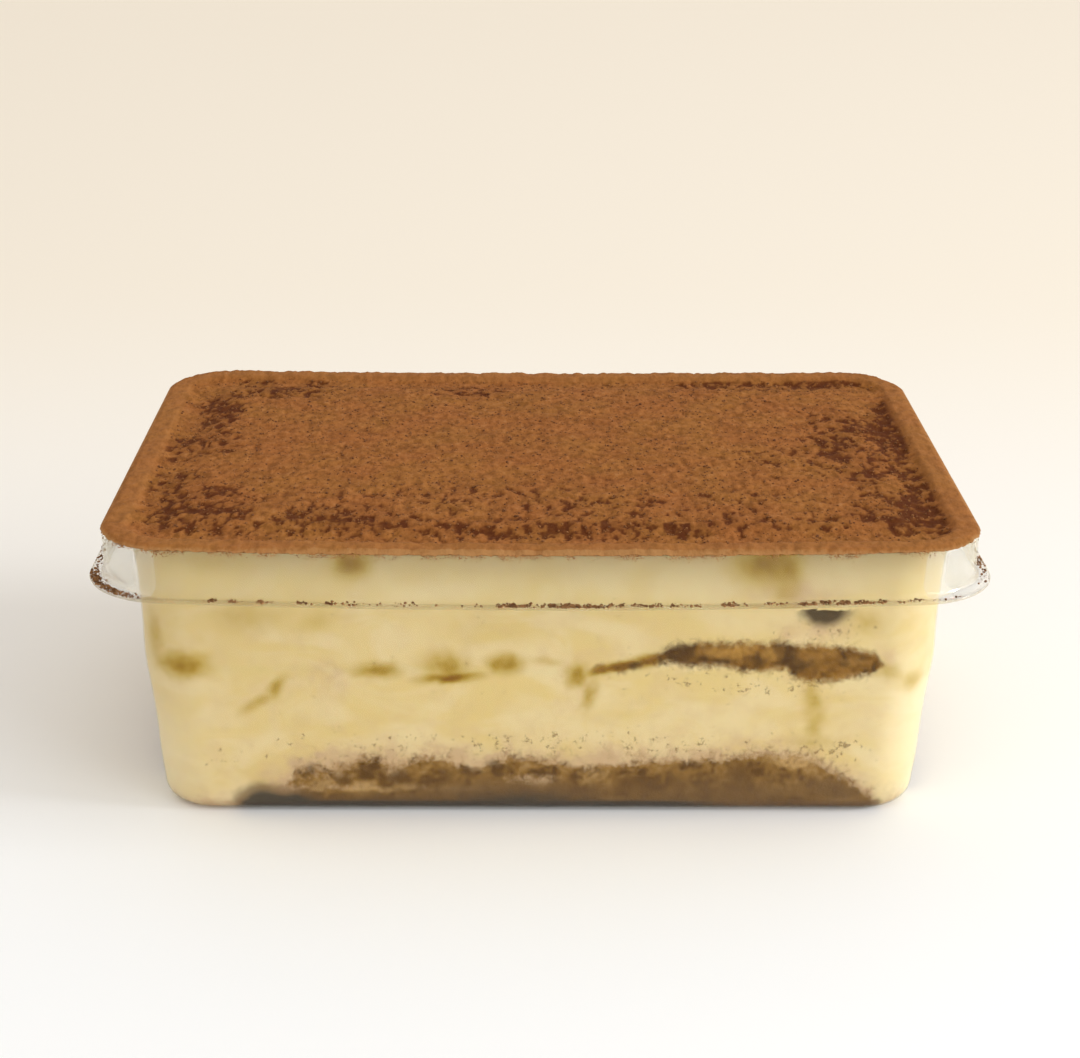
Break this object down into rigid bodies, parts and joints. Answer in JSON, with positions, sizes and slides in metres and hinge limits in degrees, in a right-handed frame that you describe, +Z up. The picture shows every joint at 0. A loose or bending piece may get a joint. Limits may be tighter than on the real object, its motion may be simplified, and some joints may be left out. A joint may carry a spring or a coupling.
{
  "type": "tiramisu tub",
  "caption": "Layered tiramisu filled to the brim of a clear rectangular takeaway tub, with cocoa over the top and rim.",
  "frame": {"origin": "middle of the flat bottom that the tub stands on", "axes": "+X along the long side, +Y from the front long side to the back, +Z up"},
  "size_m": [0.1792, 0.1286, 0.0616],
  "materials": {
    "clear_plastic": "clear thin plastic, glossy",
    "soaked_sponge": null,
    "coffee_sponge": null,
    "mascarpone_cream": null,
    "cocoa_powder": null
  },
  "bodies": {
    "root": {"tub": "clear_plastic", "sponge_base": "soaked_sponge", "cream_lower": "mascarpone_cream", "sponge_middle": "coffee_sponge", "cream_upper": "mascarpone_cream", "cocoa_layer": "cocoa_powder"}
  },
  "joints": []
}
